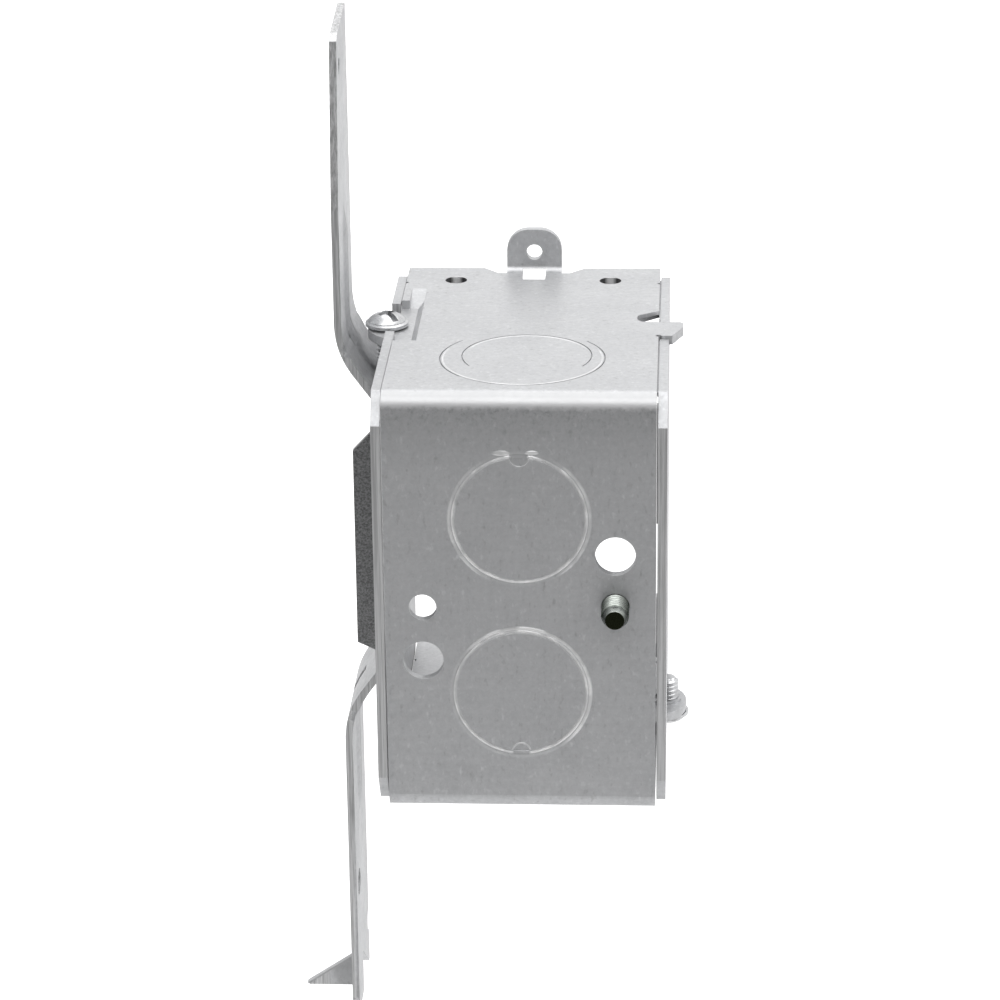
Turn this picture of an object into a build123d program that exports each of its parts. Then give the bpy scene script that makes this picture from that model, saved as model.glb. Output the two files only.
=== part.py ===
from build123d import *
import os

os.makedirs("parts", exist_ok=True)

# Box body. X runs across the box, Y from the open front (0) to the back, Z up.
sheet = 1.6
body_width = 46.0
body_height = 76.2
body_depth = 69.85
bend_inner = 1.2
bend_outer = bend_inner + sheet
half_width = body_width / 2
top_face = body_height / 2
top_under = top_face - sheet

# Device ears
device_spacing = 83.3
device_hole_diameter = 2.9
ear_width = 10.0
ear_top_margin = 4.3
ear_bend_inner = 1.2
ear_bend_outer = 2.75
ear_corner = 4.0
recess_depth = 2.95
recess_outer_half = 9.2
recess_inner_half = 6.5
window_width = 4.2
window_end = 6.75
window_ear_z = 38.55
device_z = device_spacing / 2
ear_top = device_z + ear_top_margin

# Plaster ear screw holes in the top and bottom walls
plaster_diameter = 3.9
plaster_spacing = 28.0
plaster_setback = 7.45

# Knockouts
half_inch_diameter = 22.2
three_quarter_diameter = 28.2
score_width = 0.3
score_depth = 0.12
top_score_width = 0.2
top_score_depth = 0.3
rear_knockout_spacing = 31.75
tie_width = 2.9
coin_radius = 1.6
coin_depth = 0.15
top_outer_depth = 18.9
top_outer_y = body_depth - top_outer_depth
top_outer_x = 0.1
top_inner_depth = 20.2
top_inner_y = body_depth - top_inner_depth
top_inner_x = -0.6

# Holes in the back wall
screw_hole_diameter = 4.7
screw_hole_x = 16.6
screw_hole_z = -0.3
keyhole_diameter = 6.9
keyhole_low_z = -10.05
keyhole_high_x = -16.15
keyhole_high_z = 9.3
ground_x = -16.15
ground_z = 0.1
ground_diameter = 4.7
thread_gap = 0.05
ground_hole_diameter = ground_diameter + 2 * thread_gap

# Ganging tab, pocket, hook and slot, measured from the back face
gang_depth = 40.4
gang_screw_x = half_width + 1.6
gang_screw_diameter = 4.1
gang_hole_diameter = gang_screw_diameter + 2 * thread_gap
tab_radius = 7.9
tab_end = half_width + 5.3
collar_diameter = 5.6
collar_height = 0.6
pocket_riser = 1.2
pocket_inner = half_width - 4.1
pocket_near = 27.9
pocket_far = 50.3
pocket_ramp = 2.1
pocket_rise_end = 57.3
pocket_rise_width = 2.7
pocket_slit = 0.2
hook_near = 31.2
hook_far = 38.8
hook_reach = half_width + 4.3
hook_root = half_width + 2.4
hook_taper_end = 36.2
hook_corner = 0.6
slot_tip = half_width - 3.8
slot_tip_far = 42.4
slot_mouth_far = 45.1
slot_break = 1.1
relief_diameter = 1.1
relief_depth = 60.9

# Side plates
plate = 1.6
plate_gap = 0.2
plate_drop = 0.6
plate_top = top_face - plate_drop
plate_inner = half_width + plate_gap
plate_outer = plate_inner + plate
plate_chamfer_depth = 3.6
plate_chamfer_height = 5.2
plate_corner = 4.0
notch_gap = 0.2
notch_near = 32.7
finger_tip = 34.7
notch_hook_end = 40.6
notch_hook_ramp = 50.0

# Side plate screws
screw_length = 6.35
screw_head_diameter = 7.4
screw_head_height = 3.0
screw_rim_height = 1.0
screw_slack = 0.3
screw_slot = 1.1
screw_slot_depth = 1.2
screw_point = 0.9
head_seat = top_under + screw_slack

# Stud bracket
strap = 1.3
strap_near = 31.75
strap_far = 53.95
strap_offset = 8.7
strap_reach = plate_outer + strap_offset
strap_root = 24.2
strap_slope_rise = 10.2
strap_shoulder = strap_root + strap_slope_rise
strap_top = 91.5
strap_bottom = -96.0
strap_bend = 4.0
strap_chamfer = 2.4
strap_taper = 4.75
strap_taper_start = 60.0
flange_back = 28.6
flange_reach = plate_outer + 5.7
flange_top = 22.1
flange_top_outer = 17.35
flange_low = -21.1
flange_low_outer = -19.05
nail_diameter = 2.8
nail_depth = 40.0
nail_z = 83.7
low_nail_diameter = 5.1
low_nail_depth = 37.2
low_nail_z = strap_bottom + 24.8
edge_notch_diameter = 4.8
edge_notch_z = strap_bottom + 8.5
point_line = 41.1
point_bottom = strap_bottom + 1.7
point_height = 6.6
point_top = point_bottom + point_height
point_length = 9.3
tip_radius = 3.4
bead_crown = 3.4
bead_slope = 2.0
bead_run = 2.0
bead_top_run = 6.0
bead_height = 1.2
bead_soften = 2.4
bead_leg_run = 25.6
bead_slope_start = 3.0
bead_top = strap_shoulder + bead_leg_run
bead_bottom = strap_root + bead_slope_start
bead_depth = 42.85
weld_diameter = 4.0
weld_dent = 0.2
weld_z = 13.0

# Ground screw
ground_reach = 6.3
ground_head_width = 7.9
ground_head_height = 3.0
ground_washer_diameter = 10.2
ground_washer_height = 0.8
ground_slot = 1.2
ground_slot_depth = 1.4
ground_point = 0.9

half_turn = Location((0, 0, 0), (0, 180, 0))
top_plane = Plane((0, 0, top_face), x_dir=(1, 0, 0), z_dir=(0, 0, 1))
under_plane = Plane((0, 0, top_under), x_dir=(1, 0, 0), z_dir=(0, 0, 1))
lower_plane = Plane((0, 0, top_under - sheet), x_dir=(1, 0, 0), z_dir=(0, 0, 1))
back_plane = Plane((0, body_depth, 0), x_dir=(-1, 0, 0), z_dir=(0, 1, 0))


def from_back(x, depth):
    return (x, body_depth - depth)


def ring(diameter, width):
    Circle(diameter / 2 + width / 2)
    Circle(diameter / 2 - width / 2, mode=Mode.SUBTRACT)


# Lowered pocket beside the tab: the space above it, then the sheet pressed down
with BuildPart() as pocket_space:
    with BuildSketch(top_plane):
        with BuildLine():
            Polyline(
                from_back(pocket_inner, pocket_near),
                from_back(half_width + 1, pocket_near),
                from_back(half_width + 1, pocket_far),
                from_back(pocket_inner, pocket_far),
                close=True,
            )
        make_face()
    with BuildSketch(under_plane):
        with BuildLine():
            Polyline(
                from_back(pocket_inner + pocket_riser, pocket_near + pocket_ramp),
                from_back(half_width + 1, pocket_near + pocket_ramp),
                from_back(half_width + 1, pocket_far),
                from_back(pocket_inner + pocket_riser, pocket_far),
                close=True,
            )
        make_face()
    loft(ruled=True)
    with BuildSketch(Plane.YZ.offset(pocket_inner)):
        with BuildLine():
            Polyline(
                (body_depth - pocket_far + 0.05, top_under),
                (body_depth - pocket_rise_end, top_face),
                (body_depth - pocket_far + 0.05, top_face),
                close=True,
            )
        make_face()
    extrude(amount=pocket_rise_width)

with BuildPart() as pocket_floor:
    with BuildSketch(under_plane):
        with BuildLine():
            Polyline(
                from_back(pocket_inner, pocket_near),
                from_back(half_width, pocket_near),
                from_back(half_width, pocket_far - pocket_slit),
                from_back(pocket_inner, pocket_far - pocket_slit),
                close=True,
            )
        make_face()
    with BuildSketch(lower_plane):
        with BuildLine():
            Polyline(
                from_back(pocket_inner + pocket_riser, pocket_near + pocket_ramp),
                from_back(half_width, pocket_near + pocket_ramp),
                from_back(half_width, pocket_far - pocket_slit),
                from_back(pocket_inner + pocket_riser, pocket_far - pocket_slit),
                close=True,
            )
        make_face()
    loft(ruled=True)
    with BuildSketch(Plane.YZ.offset(pocket_inner)):
        with BuildLine():
            Polyline(
                (body_depth - pocket_far + pocket_slit, top_under - sheet),
                (body_depth - pocket_rise_end, top_under),
                (body_depth - pocket_far + pocket_slit, top_under),
                close=True,
            )
        make_face()
    extrude(amount=pocket_rise_width)
    with BuildSketch(lower_plane):
        with Locations(from_back(tab_end - tab_radius, gang_depth)):
            Circle(tab_radius)
        with Locations((half_width - 0.5 - tab_radius * 2, body_depth - gang_depth)):
            Rectangle(tab_radius * 4, tab_radius * 4, mode=Mode.SUBTRACT)
    extrude(amount=sheet)
    with BuildSketch(lower_plane):
        with Locations(from_back(gang_screw_x, gang_depth)):
            Circle(collar_diameter / 2)
    extrude(amount=-collar_height)

# Hook that enters the next box's pocket when boxes are ganged
with BuildPart() as hook:
    with BuildSketch(under_plane):
        with BuildLine():
            Polyline(
                from_back(-half_width + 1, hook_near),
                from_back(-hook_root, hook_near),
                from_back(-hook_reach, hook_taper_end),
                from_back(-hook_reach, hook_far - hook_corner),
                from_back(-hook_reach + hook_corner, hook_far),
                from_back(-half_width + 1, hook_far),
                close=True,
            )
        make_face()
    extrude(amount=sheet)

# Device ear bent up from the front edge
with BuildPart() as ear:
    with BuildSketch(Plane.YZ) as ear_side:
        with BuildLine():
            Polyline(
                (0, ear_top),
                (sheet, ear_top),
                (sheet, top_face),
                (recess_depth + 1, top_face),
                (recess_depth + 1, top_under),
                (0, top_under),
                close=True,
            )
        make_face()
        fillet(ear_side.vertices().sort_by_distance((sheet, top_face))[0], ear_bend_inner)
        fillet(ear_side.vertices().sort_by_distance((0, top_under))[0], ear_bend_outer)
    extrude(amount=ear_width / 2, both=True)
    fillet(ear.edges().filter_by(Axis.Y).group_by(Axis.Z)[-1], ear_corner)
    with Locations(Plane((0, 0, device_z), x_dir=(1, 0, 0), z_dir=(0, -1, 0))):
        Hole(device_hole_diameter / 2, depth=sheet * 4)
    with BuildSketch(under_plane.offset(-1)):
        with Locations((0, sheet / 2)):
            Rectangle(window_width, 4 * sheet)
    extrude(amount=window_ear_z - top_under + 1, mode=Mode.SUBTRACT)
    with BuildSketch(under_plane.offset(-1)):
        with Locations((0, sheet + window_end / 2)):
            Rectangle(window_width, window_end)
    extrude(amount=sheet + 1, mode=Mode.SUBTRACT)

# Everything cut through the top wall
with BuildPart() as top_cuts:
    with BuildSketch(under_plane.offset(-1)):
        with BuildLine():
            Polyline(
                (-recess_outer_half, -1),
                (-recess_outer_half, 0),
                (-recess_inner_half, recess_depth),
                (0, recess_depth),
                (0, -1),
                close=True,
            )
        make_face()
        mirror(about=Plane.YZ)
    extrude(amount=sheet + 1.5)
    with BuildSketch(under_plane.offset(-1)):
        with Locations((0, (recess_depth + window_end) / 2)):
            Rectangle(window_width, window_end - recess_depth)
        with Locations((-plaster_spacing / 2, plaster_setback), (plaster_spacing / 2, plaster_setback)):
            Circle(plaster_diameter / 2)
        with Locations(from_back(half_width, relief_depth), from_back(-half_width, relief_depth)):
            RegularPolygon(relief_diameter / 2, 6)
        with Locations(from_back(-half_width, hook_near)):
            RegularPolygon(relief_diameter / 2, 6)
    extrude(amount=sheet + 2)
    with BuildSketch(under_plane.offset(-1)) as wedge:
        with BuildLine():
            Polyline(
                from_back(-half_width - 1, hook_far),
                from_back(-half_width - 1, slot_mouth_far + 0.7),
                from_back(-slot_tip, slot_tip_far),
                from_back(-slot_tip, hook_far),
                close=True,
            )
        make_face()
        fillet(wedge.vertices().group_by(Axis.X)[-1], 1.6)
    extrude(amount=sheet + 2)
    with BuildSketch(under_plane.offset(-1)):
        with BuildLine():
            Polyline(
                from_back(-half_width - 1, hook_far),
                from_back(-half_width - 1, slot_mouth_far + slot_break + 0.7),
                from_back(-slot_tip - 1, slot_tip_far + slot_break),
                from_back(-slot_tip - 1, hook_far),
                close=True,
            )
        make_face()
    extrude(amount=sheet / 2 + 1)
    with BuildSketch(lower_plane.offset(-1)):
        with Locations(from_back(gang_screw_x, gang_depth)):
            Circle(gang_hole_diameter / 2)
    extrude(amount=sheet + 2)
    with BuildSketch(top_plane.offset(-top_score_depth)):
        with Locations((top_outer_x, top_outer_y)):
            ring(three_quarter_diameter, top_score_width)
            with Locations(Rotation(0, 0, -41)):
                Rectangle(tie_width, three_quarter_diameter * 1.2, mode=Mode.SUBTRACT)
            with Locations((0, -three_quarter_diameter)):
                Rectangle(three_quarter_diameter * 2, three_quarter_diameter * 1.35, mode=Mode.SUBTRACT)
    extrude(amount=top_score_depth + 1)
    with BuildSketch(top_plane.offset(-top_score_depth)):
        with Locations((top_inner_x, top_inner_y)):
            ring(half_inch_diameter, top_score_width)
            with Locations((0, half_inch_diameter * 0.9)):
                Rectangle(half_inch_diameter * 2, half_inch_diameter * 1.3, mode=Mode.SUBTRACT)
    extrude(amount=top_score_depth + 1)

# Knockouts and holes of the back wall
with BuildPart() as back_cuts:
    with BuildSketch(back_plane.offset(1)):
        with Locations((-screw_hole_x, screw_hole_z)):
            Circle(screw_hole_diameter / 2)
        with Locations((-ground_x, ground_z)):
            Circle(ground_hole_diameter / 2)
        with Locations((-screw_hole_x, keyhole_low_z), (-keyhole_high_x, keyhole_high_z)):
            Circle(keyhole_diameter / 2)
    extrude(amount=-sheet - 2)
    with BuildSketch(back_plane.offset(1)):
        for side in (1, -1):
            with Locations((0, side * rear_knockout_spacing / 2)):
                ring(half_inch_diameter, score_width)
        for side in (1, -1):
            with Locations((0, side * (rear_knockout_spacing + half_inch_diameter) / 2)):
                Rectangle(tie_width, 3, mode=Mode.SUBTRACT)
    extrude(amount=-score_depth - 1)
    with BuildSketch(back_plane.offset(1)):
        for side in (1, -1):
            with Locations((0, side * (rear_knockout_spacing + half_inch_diameter) / 2)):
                Circle(coin_radius)
            with Locations((0, side * ((rear_knockout_spacing + half_inch_diameter) / 2 + coin_radius))):
                Rectangle(4 * coin_radius, 2 * coin_radius + score_width, mode=Mode.SUBTRACT)
    extrude(amount=-coin_depth - 1)

# Folded body
with BuildPart() as body:
    with BuildSketch(Plane.YZ) as outside:
        with Locations((body_depth / 2, 0)):
            Rectangle(body_depth, body_height)
        fillet(outside.vertices().group_by(Axis.X)[-1], bend_outer)
    extrude(amount=half_width, both=True)
    with BuildSketch(Plane.YZ) as inside:
        with Locations((body_depth / 2 - sheet, 0)):
            Rectangle(body_depth, body_height - 2 * sheet)
        fillet(inside.vertices().group_by(Axis.X)[-1], bend_inner)
    extrude(amount=half_width, both=True, mode=Mode.SUBTRACT)
    with Locations(Location(), half_turn):
        add(pocket_space.part, mode=Mode.SUBTRACT)
        add(pocket_floor.part)
        add(hook.part)
        add(top_cuts.part, mode=Mode.SUBTRACT)
        add(ear.part)
    add(back_cuts.part, mode=Mode.SUBTRACT)

body.part.label = "box_body"
export_step(body.part, "parts/box_body.step")

# Side plate outline, drawn for the bracket side and half turned for the other
with BuildPart() as side_blank:
    with BuildSketch(Plane.YZ.offset(plate_inner)) as outline:
        with BuildLine():
            Polyline(
                (0, -plate_top),
                (body_depth - plate_chamfer_depth, -plate_top),
                (body_depth, -plate_top + plate_chamfer_height),
                (body_depth, plate_top - plate_chamfer_height),
                (body_depth - plate_chamfer_depth, plate_top),
                (0, plate_top),
                close=True,
            )
        make_face()
        fillet(outline.vertices().group_by(Axis.X)[0], plate_corner)
        with BuildLine():
            Polyline(
                (body_depth - notch_near, top_under - sheet - notch_gap),
                (body_depth - notch_near, top_under + notch_gap),
                (body_depth - finger_tip, top_under + notch_gap),
                (body_depth - finger_tip, plate_top + 1),
                (body_depth - pocket_far, plate_top + 1),
                (body_depth - pocket_far, top_under - sheet - notch_gap),
                close=True,
            )
        make_face(mode=Mode.SUBTRACT)
        with Locations((body_depth - gang_depth, top_under - sheet - screw_length / 2)):
            Rectangle(collar_diameter + 2 * notch_gap + 0.4, screw_length, mode=Mode.SUBTRACT)
        with BuildLine():
            Polyline(
                (body_depth - hook_near + notch_gap, -plate_top - 1),
                (body_depth - hook_near + notch_gap, -top_under + notch_gap),
                (body_depth - notch_hook_end, -top_under + notch_gap),
                (body_depth - notch_hook_end - 0.6, -plate_top + 0.5),
                (body_depth - notch_hook_ramp, -plate_top),
                (body_depth - notch_hook_ramp, -plate_top - 1),
                close=True,
            )
        make_face(mode=Mode.SUBTRACT)
    extrude(amount=plate)

bracket_side = side_blank.part
bracket_side.label = "side_plate_bracket"
export_step(bracket_side, "parts/side_plate_bracket.step")

with BuildPart() as free_side:
    with Locations(half_turn):
        add(side_blank.part)

free_side.part.label = "side_plate_free"
export_step(free_side.part, "parts/side_plate_free.step")

# Strap that nails to the side of a stud
strap_y = body_depth - strap_far
strap_front = body_depth - strap_near
point_y = body_depth - point_line
shear_slope = (point_top - point_bottom) / point_length
strap_width = strap_far - strap_near
strap_middle = plate_outer + strap
root = Vector(strap_middle, strap_root)
shoulder = Vector(strap_reach, strap_shoulder)
along = (shoulder - root).normalized()
across = Vector(-along.Y, along.X)


def on_slope(z, out):
    start = root + across * out
    return (start.X + along.X * (z - start.Y) / along.Y, z)


def on_corner(out):
    start = root + across * out
    return (strap_reach - out, start.Y + along.Y * (strap_reach - out - start.X) / along.X)


def bead_outline(low, high, inset):
    crown = on_corner(high)
    Polyline(
        (strap_reach - low, bead_top - inset),
        (strap_reach - high, bead_top - inset - bead_top_run),
        (strap_reach - high, crown[1] + bead_soften),
        on_slope(crown[1] - bead_soften, high),
        on_slope(bead_bottom + inset + bead_run, high),
        on_slope(bead_bottom + inset, low),
        on_corner(low),
        close=True,
    )


def bead_section(offset, high, inset):
    with BuildSketch(Plane.XZ.offset(bead_depth - body_depth + offset)) as section:
        with BuildLine():
            bead_outline(strap / 2, high, inset)
        make_face()
    return section.sketch.face()


bead_sections = [
    bead_section(-bead_crown / 2 - bead_slope, strap * 0.75, bead_slope),
    bead_section(-bead_crown / 2, strap + bead_height, 0),
    bead_section(bead_crown / 2, strap + bead_height, 0),
    bead_section(bead_crown / 2 + bead_slope, strap * 0.75, bead_slope),
]
with BuildPart() as bead_part:
    loft(sections=bead_sections, ruled=True)

with BuildPart() as bead_hollow:
    with BuildSketch(Plane.XZ.offset(bead_depth - body_depth)):
        with BuildLine():
            bead_outline(-1, bead_height, bead_slope)
        make_face()
    extrude(amount=bead_crown / 3, both=True)

with BuildPart() as bracket:
    with BuildSketch(Plane.XZ.offset(-strap_y)):
        with BuildLine():
            FilletPolyline(
                (strap_reach, strap_bottom),
                (strap_reach, -strap_shoulder),
                (strap_middle, -strap_root),
                (strap_middle, strap_root),
                (strap_reach, strap_shoulder),
                (strap_reach, strap_top),
                radius=strap_bend,
            )
            offset(amount=strap, side=Side.LEFT)
        make_face()
    extrude(amount=-strap_width)
    with BuildSketch(Plane.YZ.offset(plate_outer)):
        with BuildLine():
            Polyline(
                (strap_front + 1, strap_taper_start),
                (strap_front, strap_taper_start),
                (strap_front - strap_taper, strap_top - strap_chamfer - 1.7),
                (strap_front - strap_taper - strap_chamfer, strap_top - 1.7),
                (strap_y, strap_top),
                (strap_y, strap_top + 1),
                (strap_front + 1, strap_top + 1),
                close=True,
            )
        make_face()
        with BuildLine():
            Polyline(
                (point_y, point_top),
                (point_y, strap_bottom - 3),
                (strap_y - 1, strap_bottom - 3),
                (strap_y - 1, point_top + shear_slope * (strap_y - 1 - point_y)),
                close=True,
            )
        make_face()
        with Locations((body_depth - nail_depth, nail_z)):
            Circle(nail_diameter / 2)
        with Locations((body_depth - low_nail_depth, low_nail_z)):
            Circle(low_nail_diameter / 2)
        with Locations((strap_y, edge_notch_z)):
            Circle(edge_notch_diameter / 2)
    extrude(amount=strap_reach, mode=Mode.SUBTRACT)
    fillet(
        bracket.edges().filter_by(Axis.X).sort_by_distance((strap_reach, strap_front, strap_bottom))[0],
        tip_radius,
    )
    with BuildSketch(Plane.XZ.offset(-point_y)):
        with BuildLine():
            Polyline(
                (strap_reach - strap, point_top),
                (strap_reach, point_top),
                (strap_reach + point_length, point_bottom + 0.3),
                (strap_reach + point_length - 0.5, point_bottom),
                (strap_reach - strap, point_bottom),
                close=True,
            )
        make_face()
    extrude(amount=-strap)
    with BuildSketch(Plane.XZ.offset(-(body_depth - flange_back - strap))):
        with BuildLine():
            Polyline(
                (plate_outer, flange_top),
                (strap_middle, flange_top),
                (flange_reach, flange_top_outer),
                (flange_reach, flange_low_outer),
                (strap_middle, flange_low),
                (plate_outer, flange_low),
                close=True,
            )
        make_face()
    extrude(amount=-strap)
    with BuildSketch(Plane.YZ.offset(plate_outer)):
        with Locations((body_depth - (strap_near + flange_back) / 2, (flange_top + flange_low) / 2)):
            Rectangle(strap_near - flange_back, flange_top - flange_low)
    extrude(amount=strap)
    add(bead_part.part)
    add(bead_part.part.mirror(Plane.XY))
    add(bead_hollow.part, mode=Mode.SUBTRACT)
    add(bead_hollow.part.mirror(Plane.XY), mode=Mode.SUBTRACT)
    with BuildSketch(Plane.YZ.offset(strap_middle + 1)):
        with Locations((body_depth - bead_depth, 0)):
            with GridLocations(strap_width / 2, 2 * weld_z, 2, 2):
                Circle(weld_diameter / 2)
    extrude(amount=-1 - weld_dent, mode=Mode.SUBTRACT)

bracket.part.label = "stud_bracket"
export_step(bracket.part, "parts/stud_bracket.step")

# Screw that clamps ganged boxes, head up at the top tab
with BuildPart() as gang_screw:
    with BuildSketch(Plane((gang_screw_x, body_depth - gang_depth, 0), x_dir=(1, 0, 0), z_dir=(0, -1, 0))):
        with BuildLine():
            Line((0, head_seat - screw_length), (0, head_seat + screw_head_height))
            Polyline(
                (0, head_seat + screw_head_height),
                (screw_head_diameter * 0.33, head_seat + screw_head_height * 0.8),
                (screw_head_diameter / 2, head_seat + screw_rim_height),
            )
            Line(
                (screw_head_diameter / 2, head_seat + screw_rim_height),
                (screw_head_diameter / 2, head_seat),
            )
            Line((screw_head_diameter / 2, head_seat), (gang_screw_diameter / 2, head_seat))
            Line(
                (gang_screw_diameter / 2, head_seat),
                (gang_screw_diameter / 2, head_seat - screw_length + screw_point),
            )
            Line(
                (gang_screw_diameter / 2, head_seat - screw_length + screw_point),
                (gang_screw_diameter * 0.3, head_seat - screw_length),
            )
            Line((gang_screw_diameter * 0.3, head_seat - screw_length), (0, head_seat - screw_length))
        make_face()
    revolve(axis=Axis((gang_screw_x, body_depth - gang_depth, 0), (0, 0, 1)))
    with Locations(Location((gang_screw_x, body_depth - gang_depth, head_seat + screw_head_height), (0, 0, 45))):
        Box(screw_head_diameter * 1.2, screw_slot, 2 * screw_slot_depth, mode=Mode.SUBTRACT)
        Box(screw_slot, screw_head_diameter * 0.52, 2 * screw_slot_depth, mode=Mode.SUBTRACT)

gang_screw.part.label = "gang_screw_top"
export_step(gang_screw.part, "parts/gang_screw_top.step")

with BuildPart() as lower_screw:
    with Locations(half_turn):
        add(gang_screw.part)

lower_screw.part.label = "gang_screw_bottom"
export_step(lower_screw.part, "parts/gang_screw_bottom.step")

# Ground screw, its head inside the box and its point out of the back
ground_seat = body_depth - sheet
with BuildPart() as ground:
    with BuildSketch(Plane((ground_x, ground_seat, ground_z), x_dir=(1, 0, 0), z_dir=(0, 1, 0))):
        Circle(ground_washer_diameter / 2)
    extrude(amount=-ground_washer_height)
    with BuildSketch(Plane((ground_x, ground_seat, ground_z), x_dir=(1, 0, 0), z_dir=(0, 1, 0))):
        RegularPolygon(ground_head_width / 2, 6, major_radius=False)
    extrude(amount=-ground_head_height)
    with BuildSketch(Plane((ground_x, ground_seat, ground_z), x_dir=(1, 0, 0), z_dir=(0, 1, 0))):
        Circle(ground_diameter / 2)
    extrude(amount=sheet + ground_reach)
    chamfer(ground.edges().group_by(Axis.Y)[-1], ground_point)
    with Locations((ground_x, ground_seat - ground_head_height, ground_z)):
        Box(ground_head_width * 1.3, 2 * ground_slot_depth, ground_slot, mode=Mode.SUBTRACT)

ground.part.label = "ground_screw"
export_step(ground.part, "parts/ground_screw.step")
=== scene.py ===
import math
import bpy
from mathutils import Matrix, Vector


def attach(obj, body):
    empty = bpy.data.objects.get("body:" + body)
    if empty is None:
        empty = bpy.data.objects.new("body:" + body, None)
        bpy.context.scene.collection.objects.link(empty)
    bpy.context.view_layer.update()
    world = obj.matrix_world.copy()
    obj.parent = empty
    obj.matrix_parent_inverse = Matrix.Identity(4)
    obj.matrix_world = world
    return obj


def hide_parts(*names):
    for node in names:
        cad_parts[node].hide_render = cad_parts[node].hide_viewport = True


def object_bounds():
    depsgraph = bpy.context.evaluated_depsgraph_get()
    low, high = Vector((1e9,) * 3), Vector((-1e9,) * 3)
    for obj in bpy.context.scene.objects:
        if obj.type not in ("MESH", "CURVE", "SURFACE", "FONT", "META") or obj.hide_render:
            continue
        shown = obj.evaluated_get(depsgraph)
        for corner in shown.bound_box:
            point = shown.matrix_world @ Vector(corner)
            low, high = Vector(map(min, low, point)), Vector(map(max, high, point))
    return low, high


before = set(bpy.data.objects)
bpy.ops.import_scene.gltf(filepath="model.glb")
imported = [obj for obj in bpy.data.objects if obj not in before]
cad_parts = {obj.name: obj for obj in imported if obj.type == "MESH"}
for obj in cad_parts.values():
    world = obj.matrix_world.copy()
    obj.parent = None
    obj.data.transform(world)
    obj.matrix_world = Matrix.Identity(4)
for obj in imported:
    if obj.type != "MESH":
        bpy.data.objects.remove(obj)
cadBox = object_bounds()
mm = 0.001


def deselectAll():
    if bpy.context.object and bpy.context.object.mode != "OBJECT":
        bpy.ops.object.mode_set(mode="OBJECT")
    bpy.ops.object.select_all(action="DESELECT")


# Camera, where the photograph was taken from
camera = {
    "place": (-27.55 * mm, 650.86 * mm, 242.69 * mm),
    "turn": 3.03,  # degrees past straight behind the box
    "down": 21.0,
    "roll": -0.66,
    "lens": 133.8,
}


def addCamera(c):
    turn, down, roll = (math.radians(c[k]) for k in ("turn", "down", "roll"))
    level = math.cos(down)
    forward = Vector((math.sin(turn) * level, -math.cos(turn) * level, -math.sin(down)))
    right = forward.cross(Vector((0, 0, 1))).normalized()
    up = right.cross(forward)
    rolledRight = right * math.cos(roll) + up * math.sin(roll)
    rolledUp = up * math.cos(roll) - right * math.sin(roll)
    bpy.ops.object.camera_add(location=c["place"])
    cam = bpy.context.object
    cam.name = "photoCamera"
    matrix = cam.matrix_world.copy()
    for row in range(3):
        matrix[row][0], matrix[row][1], matrix[row][2] = rolledRight[row], rolledUp[row], -forward[row]
    cam.matrix_world = matrix
    cam.data.lens = c["lens"]
    cam.data.sensor_width = 36
    cam.data.sensor_fit = "HORIZONTAL"
    cam.data.clip_start = 0.01
    cam.data.clip_end = 20
    bpy.context.scene.camera = cam
    return cam


deselectAll()
addCamera(camera)
print("camera in place")


# Node helpers
def newMaterial(name):
    mat = bpy.data.materials.new(name)
    mat.use_nodes = True
    tree = mat.node_tree
    return mat, tree, tree.nodes["Principled BSDF"]


def addNode(tree, kind, **values):
    node = tree.nodes.new(kind)
    for key, value in values.items():
        if hasattr(node, key):
            setattr(node, key, value)
        else:
            node.inputs[key.replace("_", " ")].default_value = value
    return node


def objectCoords(tree, scale=(1, 1, 1)):
    coords = addNode(tree, "ShaderNodeTexCoord")
    mapping = addNode(tree, "ShaderNodeMapping", Scale=scale)
    tree.links.new(coords.outputs["Object"], mapping.inputs["Vector"])
    return mapping.outputs["Vector"]


def noise(tree, vector, scale, detail=4.0, rough=0.6, distortion=0.0):
    node = addNode(tree, "ShaderNodeTexNoise", Scale=scale, Detail=detail, Roughness=rough)
    node.inputs["Distortion"].default_value = distortion
    tree.links.new(vector, node.inputs["Vector"])
    return node.outputs["Fac"]


def mapRange(tree, value, low, high, toLow, toHigh):
    node = addNode(tree, "ShaderNodeMapRange", From_Min=low, From_Max=high, To_Min=toLow, To_Max=toHigh)
    tree.links.new(value, node.inputs["Value"])
    return node.outputs["Result"]


def mathNode(tree, operation, first, second=0):
    node = addNode(tree, "ShaderNodeMath", operation=operation)
    for slot, value in enumerate((first, second)):
        if isinstance(value, (int, float)):
            node.inputs[slot].default_value = value
        else:
            tree.links.new(value, node.inputs[slot])
    return node.outputs[0]


def mixColor(tree, factor, first, second, blend="MIX"):
    node = addNode(tree, "ShaderNodeMix", data_type="RGBA", blend_type=blend)
    for socket, value in ((node.inputs[0], factor), (node.inputs[6], first), (node.inputs[7], second)):
        if isinstance(value, (int, float)):
            socket.default_value = value
        elif isinstance(value, tuple):
            socket.default_value = (*value, 1.0)
        else:
            tree.links.new(value, socket)
    return node.outputs[2]


def separate(tree, vector):
    node = addNode(tree, "ShaderNodeSeparateXYZ")
    tree.links.new(vector, node.inputs[0])
    return node.outputs


def times(tree, *values):
    value = values[0]
    for factor in values[1:]:
        value = mathNode(tree, "MULTIPLY", value, factor)
    return value


# The larger of what is there already and a product
def gather(tree, total, *values):
    value = times(tree, *values)
    return value if total is None else mathNode(tree, "MAXIMUM", total, value)


def squareSum(tree, first, second):
    return mathNode(tree, "ADD", times(tree, first, first), times(tree, second, second))


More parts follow.
